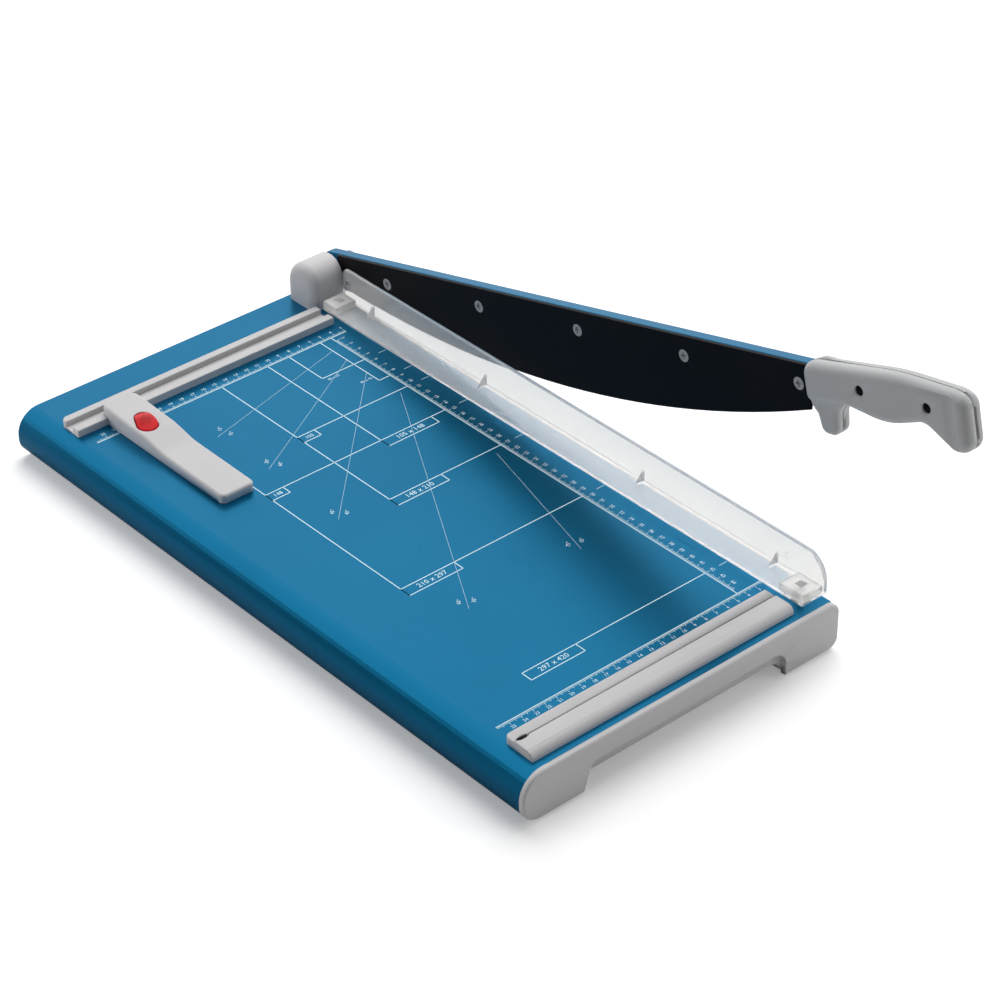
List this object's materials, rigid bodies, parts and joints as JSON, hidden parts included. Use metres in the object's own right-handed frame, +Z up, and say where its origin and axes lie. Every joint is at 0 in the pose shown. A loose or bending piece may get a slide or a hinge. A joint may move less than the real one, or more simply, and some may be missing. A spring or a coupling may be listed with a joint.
{
  "type": "paper cutter",
  "caption": "Lever paper cutter: flat table with ruler markings, curved blade on a pivoting arm with a hand grip, clear sprung guard and sliding backstop.",
  "frame": {"origin": "bottom centre of the box round the whole cutter at rest, on the desk plane", "axes": "+X across the table towards the cutting edge, +Y along the blade towards the pivot, +Z up"},
  "size_m": [0.306, 0.6578, 0.2412],
  "materials": {
    "blue_paint": "satin metallic lacquer",
    "grey_plastic": "fine matt moulded grain",
    "handle_plastic": "matt moulded grain",
    "black_steel": "black satin coat",
    "clear_plastic": "clear, polished",
    "red_plastic": "glossy",
    "rubber": "matt",
    "bronze": "machined",
    "spring_steel": "drawn wire",
    "bright_steel": "bright zinc or ground"
  },
  "bodies": {
    "base": {"table_top": "blue_paint", "front_end_cap": "grey_plastic", "rear_end_cap": "grey_plastic", "end_cap_screws": "bright_steel", "foot_front_left": "rubber", "foot_front_right": "rubber", "foot_rear_left": "rubber", "foot_rear_right": "rubber", "counter_knife": "bright_steel", "counter_knife_screws": "bright_steel", "knife_beam": "bright_steel", "pivot_bracket": "bright_steel", "bracket_bolts": "bright_steel", "pivot_cover": "grey_plastic", "pivot_bolt": "bright_steel", "pivot_spacer": "bright_steel", "friction_washer": "bronze", "disc_spring": "spring_steel", "pivot_nut": "bright_steel", "rear_guide_rail": "grey_plastic", "front_guide_strip": "grey_plastic", "rail_screws": "bright_steel", "guard_front_pin": "bright_steel", "guard_rear_pin": "bright_steel", "guard_front_spring": "spring_steel", "guard_rear_spring": "spring_steel"},
    "arm": {"pivot_bush": "bronze", "blade_arm": "blue_paint", "upper_blade": "black_steel", "blade_screws": "bright_steel", "handle_left_half": "handle_plastic", "handle_right_half": "handle_plastic", "handle_screws": "black_steel", "handle_nuts": "bright_steel"},
    "guard": {"guard": "clear_plastic", "guard_front_block": "clear_plastic", "guard_rear_block": "clear_plastic"},
    "backstop": {"backstop_arm": "grey_plastic", "backstop_plate": "bright_steel", "lever_pin": "bright_steel", "button_spring": "spring_steel"},
    "button": {"release_button": "red_plastic"},
    "lever": {"clamp_lever": "bright_steel"}
  },
  "joints": [
    {"name": "arm_swing", "type": "hinge", "parent": "base", "child": "arm", "pos_m": [0.13647, 0.31188, 0.0553], "axis": [-1, 0, 0], "range_deg": [-15, 40]},
    {"name": "guard_press", "type": "slide", "parent": "base", "child": "guard", "axis": [0, 0, 1], "range_m": [-0.0027, 0], "stiffness_N_per_m": 400, "springref_m": 0.01, "deforming": ["guard_front_spring", "guard_rear_spring"]},
    {"name": "backstop_slide", "type": "slide", "parent": "base", "child": "backstop", "axis": [1, 0, 0], "range_m": [-0.02, 0.1775]},
    {"name": "button_press", "type": "slide", "parent": "backstop", "child": "button", "axis": [0, 0, -1], "range_m": [0, 0.002], "stiffness_N_per_m": 800, "springref_m": -0.002, "deforming": ["button_spring"]},
    {"name": "lever_tilt", "type": "hinge", "parent": "backstop", "child": "lever", "pos_m": [-0.09713, 0.26128, 0.044], "axis": [1, 0, 0], "range_deg": [0, 6.7]}
  ],
  "couplings": [
    {"joint": "lever_tilt", "follows": "button_press", "rad_per_m": 57}
  ]
}
